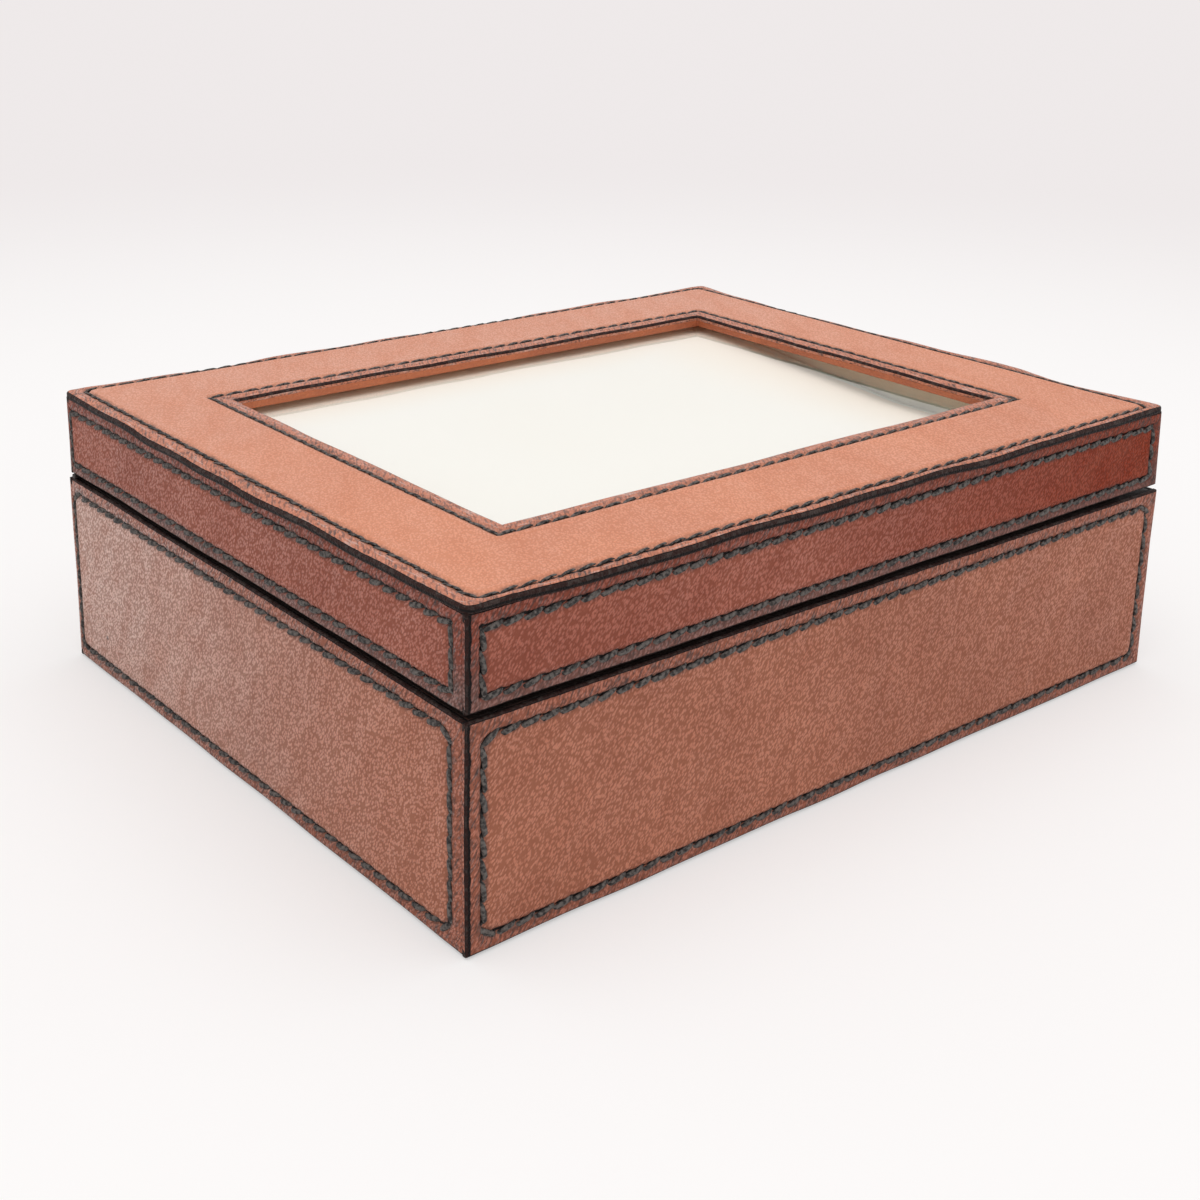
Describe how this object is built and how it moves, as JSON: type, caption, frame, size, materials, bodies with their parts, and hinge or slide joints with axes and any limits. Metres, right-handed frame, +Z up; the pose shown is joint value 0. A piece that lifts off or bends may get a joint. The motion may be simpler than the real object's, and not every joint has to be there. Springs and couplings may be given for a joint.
{
  "type": "cufflink box with drawer",
  "caption": "Stitched leather box with a hinged window lid, a compartment tray for cufflinks and a low drawer in one end.",
  "frame": {"origin": "centre of the underside, on the table", "axes": "+Z up, +X along the long side towards the drawer end, +Y towards the hinges"},
  "size_m": [0.2544, 0.1949, 0.079],
  "materials": {
    "board": "plain lightweight wood",
    "lined_board": "wood faced with cream suede",
    "khaki_board": "wood painted khaki inside the window pocket",
    "top_leather": "waxed tan leather, dark painted edges",
    "lid_leather": "waxed red-brown leather, dark painted edges",
    "base_leather": "waxed brown leather, dark painted edges",
    "suede": "cream suede",
    "card": "cream card",
    "glass": "clear float glass",
    "brass": "brushed brass",
    "thread": "dark grey waxed thread"
  },
  "bodies": {
    "base": {"base_bottom_board": "board", "base_front_board": "board", "base_back_board": "board", "base_left_board": "board", "base_right_rail": "board", "deck_board": "board", "drawer_stop_block": "board", "lip_front": "suede", "lip_back": "suede", "lip_left": "suede", "lip_right": "suede", "base_front_leather": "base_leather", "base_back_leather": "base_leather", "base_left_leather": "base_leather", "base_right_leather": "base_leather", "base_under_leather": "base_leather", "base_rim_leather": "base_leather", "cufflink_tray": "suede", "tray_cross_dividers": "suede", "tray_long_dividers": "suede", "hinge_left_base_leaf": "brass", "hinge_right_base_leaf": "brass", "hinge_pins": "brass", "base_hinge_screws": "brass", "base_side_threads": "thread"},
    "lid": {"lid_front_board": "lined_board", "lid_back_board": "lined_board", "lid_left_board": "lined_board", "lid_right_board": "lined_board", "window_frame": "khaki_board", "lid_back_panel": "suede", "lid_top_leather": "top_leather", "lid_front_leather": "lid_leather", "lid_back_leather": "lid_leather", "lid_left_leather": "lid_leather", "lid_right_leather": "lid_leather", "window_reveal_leather": "lid_leather", "lid_rim_leather": "lid_leather", "glass_pane": "glass", "display_card": "card", "hinge_left_lid_leaf": "brass", "hinge_right_lid_leaf": "brass", "lid_hinge_screws": "brass", "lid_side_threads": "thread", "lid_top_thread": "thread", "window_thread": "thread"},
    "drawer": {"drawer_front_board": "board", "drawer_near_side": "board", "drawer_far_side": "board", "drawer_back": "board", "drawer_bottom": "board", "drawer_lining": "suede", "drawer_dividers": "suede", "drawer_front_leather": "base_leather", "drawer_pull_tab": "base_leather", "drawer_thread": "thread"}
  },
  "joints": [
    {"name": "lid_hinge", "type": "hinge", "parent": "base", "child": "lid", "pos_m": [0, 0.0974, 0.05425], "axis": [-1, 0, 0], "range_deg": [0, 100]},
    {"name": "drawer_slide", "type": "slide", "parent": "base", "child": "drawer", "axis": [1, 0, 0], "range_m": [0, 0.15]}
  ]
}
